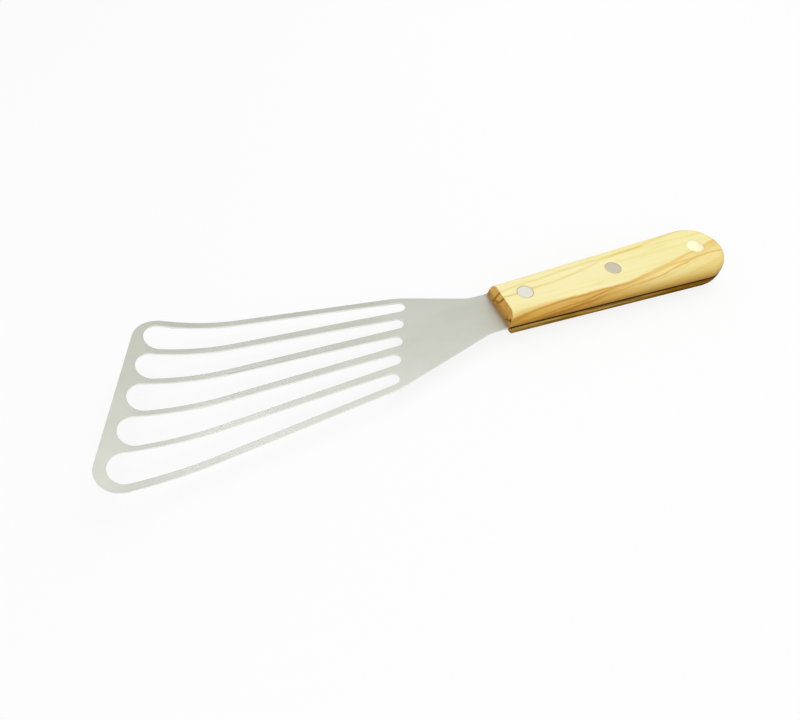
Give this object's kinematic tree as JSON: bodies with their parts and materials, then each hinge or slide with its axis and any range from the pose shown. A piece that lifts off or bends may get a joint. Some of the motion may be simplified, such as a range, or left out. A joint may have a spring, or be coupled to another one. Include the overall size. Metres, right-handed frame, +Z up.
{
  "type": "slotted spatula",
  "caption": "Slotted turner: a fanned, upward-curled steel blade with a slanted front edge and a full tang riveted between wooden handle scales with a hang hole.",
  "frame": {"origin": "on the handle's flat underside, on its centre line, midway between the rivets", "axes": "+X forward along the handle to the blade's tip, +Y to the blade's longer side, +Z up, square to the steel sheet"},
  "size_m": [0.2978, 0.0762, 0.0191],
  "materials": {
    "steel": "satin",
    "wood": "oiled, streaked",
    "rivet": "ground flush"
  },
  "bodies": {
    "root": {"blade": "steel", "upper_scale": "wood", "lower_scale": "wood", "front_rivet_sleeve": "rivet", "front_rivet_pin": "rivet", "rear_rivet_sleeve": "rivet", "rear_rivet_pin": "rivet"}
  },
  "joints": []
}
